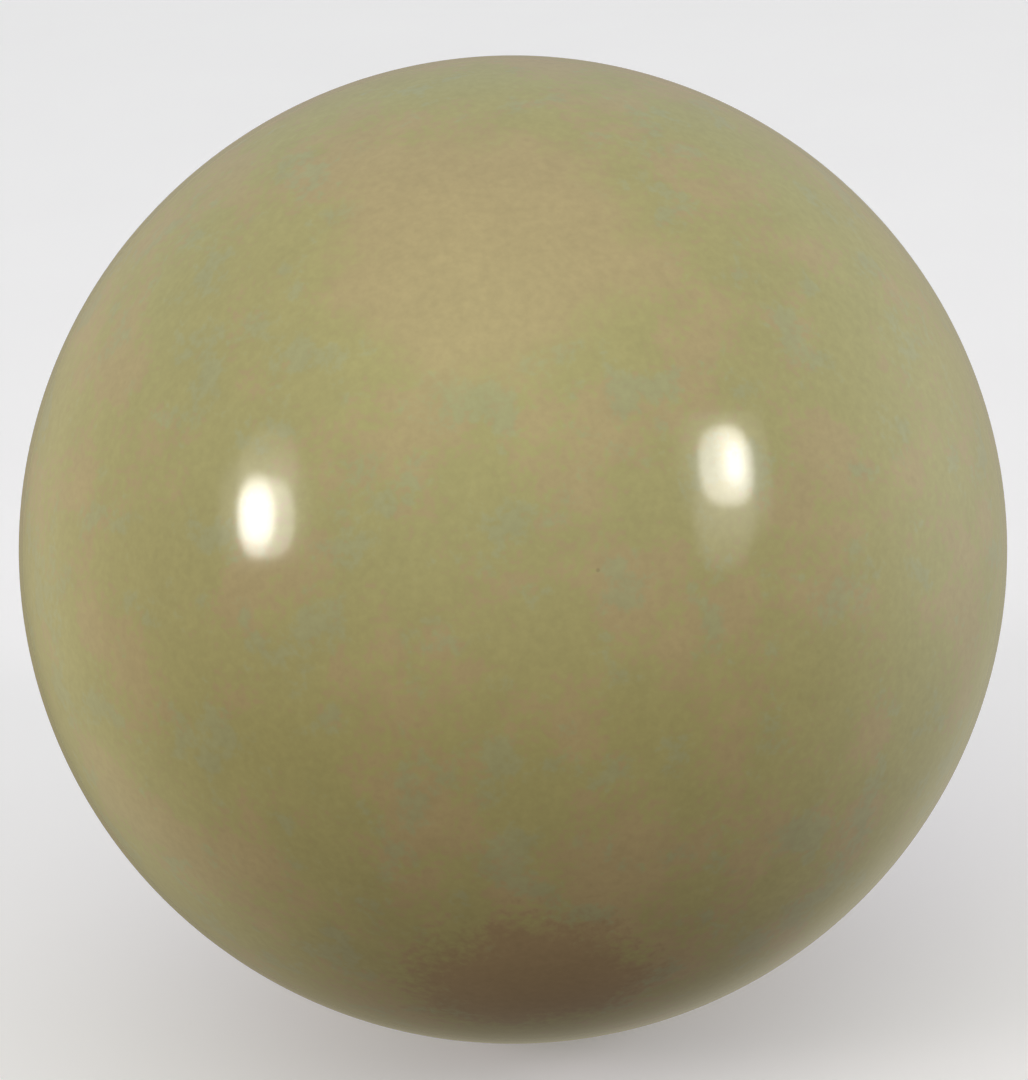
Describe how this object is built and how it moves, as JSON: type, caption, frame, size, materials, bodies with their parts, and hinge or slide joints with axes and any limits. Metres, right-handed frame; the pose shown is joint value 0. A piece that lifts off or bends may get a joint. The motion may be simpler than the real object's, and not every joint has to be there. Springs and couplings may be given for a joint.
{
  "type": "cue ball",
  "caption": "Plain polished cream resin ball for pool, with an iron-filled core that a coin-operated table's magnet can catch.",
  "frame": {"origin": "centre of the ball", "axes": "+Z is the axis of the core's plugged pin hole, and the plug's ground end faces -Z; every piece is round about Z, so X and Y may be any two directions square to it"},
  "size_m": [0.0572, 0.0572, 0.0572],
  "materials": {
    "cream_resin": "polished cast resin, slightly worn",
    "iron_filled_resin": "as moulded, resin full of iron powder",
    "plug_resin": "cast resin, its end ground and polished with the ball"
  },
  "bodies": {
    "root": {"outer_casting": "cream_resin", "magnetic_core": "iron_filled_resin", "pin_hole_plug": "plug_resin"}
  },
  "joints": []
}
